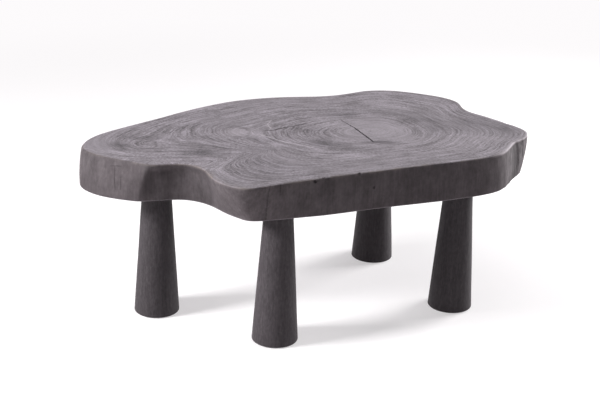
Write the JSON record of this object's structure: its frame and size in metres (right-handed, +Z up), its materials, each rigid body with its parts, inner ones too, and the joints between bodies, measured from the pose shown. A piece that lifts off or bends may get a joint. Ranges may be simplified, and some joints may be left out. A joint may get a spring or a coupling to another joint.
{
  "type": "live edge coffee table",
  "caption": "Low coffee table: a thick charcoal-stained cross-cut tree slab with a lobed live edge on plain turned cone legs bolted up under it.",
  "frame": {"origin": "on the floor under the middle of the slab's box", "axes": "+X along the slab's length to the right as the picture shows it, +Y to the back, +Z up"},
  "size_m": [1.0417, 0.7682, 0.401],
  "materials": {
    "slab_wood": "charcoal stain, matt, growth rings showing",
    "leg_wood": "black stain, satin, fine upright grain",
    "felt": "pressed felt",
    "insert_brass": "machined",
    "bolt_steel": "zinc plated"
  },
  "bodies": {
    "root": {"slab_top": "slab_wood", "left_leg": "leg_wood", "left_pad": "felt", "left_insert": "insert_brass", "left_bolt": "bolt_steel", "front_leg": "leg_wood", "front_pad": "felt", "front_insert": "insert_brass", "front_bolt": "bolt_steel", "rear_leg": "leg_wood", "rear_pad": "felt", "rear_insert": "insert_brass", "rear_bolt": "bolt_steel", "right_leg": "leg_wood", "right_pad": "felt", "right_insert": "insert_brass", "right_bolt": "bolt_steel"}
  },
  "joints": []
}
